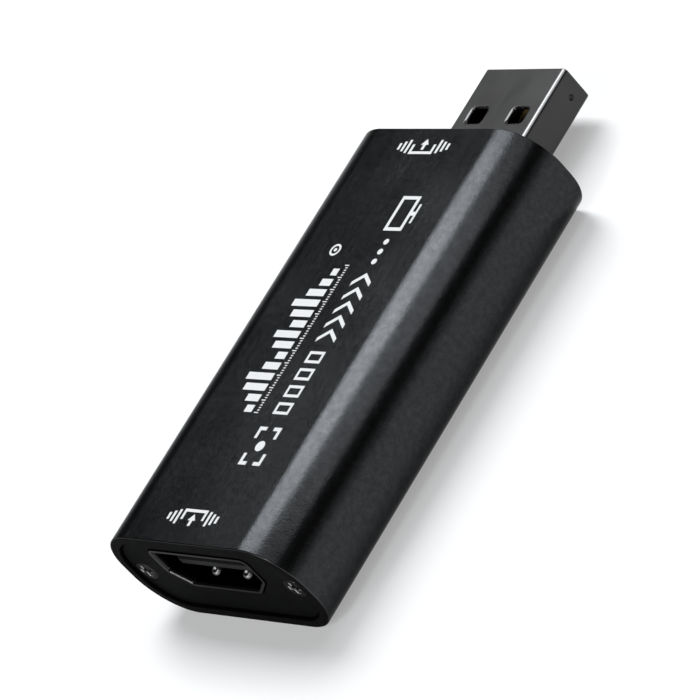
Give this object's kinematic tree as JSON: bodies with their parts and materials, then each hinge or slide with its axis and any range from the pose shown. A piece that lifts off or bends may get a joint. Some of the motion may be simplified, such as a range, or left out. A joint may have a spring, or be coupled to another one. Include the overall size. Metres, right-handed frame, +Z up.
{
  "type": "video capture box",
  "caption": "Pocket video capture box: a rounded black aluminium sleeve with a digital video input socket at one end and a type A bus plug at the other.",
  "frame": {"origin": "on the surface that the sleeve rests on, under the middle of the overall box", "axes": "+Y along the length from the input socket to the output plug, +Z up out of the printed face, +X across the width"},
  "size_m": [0.028, 0.0644, 0.0126],
  "materials": {
    "black_sleeve": "black anodised over a fine blasted grain",
    "black_plate": "black anodised, satin",
    "screw_steel": "dark nickel plate",
    "board_laminate": "green solder mask",
    "solder": "bright solder",
    "socket_plating": "nickel plate",
    "connector_plastic": "black moulded, fine matt",
    "contact_gold": "gold plate",
    "plug_plating": "nickel plate, satin",
    "package_plastic": "black moulded epoxy",
    "tinned_lead": "tin plate",
    "crystal_ceramic": "dark fired ceramic",
    "tantalum_plastic": "moulded epoxy",
    "capacitor_ceramic": "tan fired ceramic",
    "resistor_ceramic": "black coat on white ceramic",
    "ferrite": "dark grey ferrite"
  },
  "bodies": {
    "root": {"sleeve": "black_sleeve", "input_end_plate": "black_plate", "output_end_plate": "black_plate", "input_plate_screws": "screw_steel", "output_plate_screws": "screw_steel", "circuit_board": "board_laminate", "leg_solder": "solder", "socket_shell": "socket_plating", "socket_insulator": "connector_plastic", "socket_upper_contacts": "contact_gold", "socket_lower_contacts": "contact_gold", "plug_shell": "plug_plating", "plug_insulator": "connector_plastic", "plug_contacts": "contact_gold", "capture_chip": "package_plastic", "capture_chip_leads": "tinned_lead", "memory_chip": "package_plastic", "memory_chip_leads": "tinned_lead", "regulators": "package_plastic", "regulator_leads": "tinned_lead", "surge_arrays": "package_plastic", "surge_array_leads": "tinned_lead", "crystal_base": "crystal_ceramic", "crystal_lid": "tinned_lead", "tantalum_capacitor": "tantalum_plastic", "tantalum_strips": "tinned_lead", "ceramic_capacitors": "capacitor_ceramic", "resistors": "resistor_ceramic", "ferrite_beads": "ferrite", "chip_end_caps": "tinned_lead"}
  },
  "joints": []
}
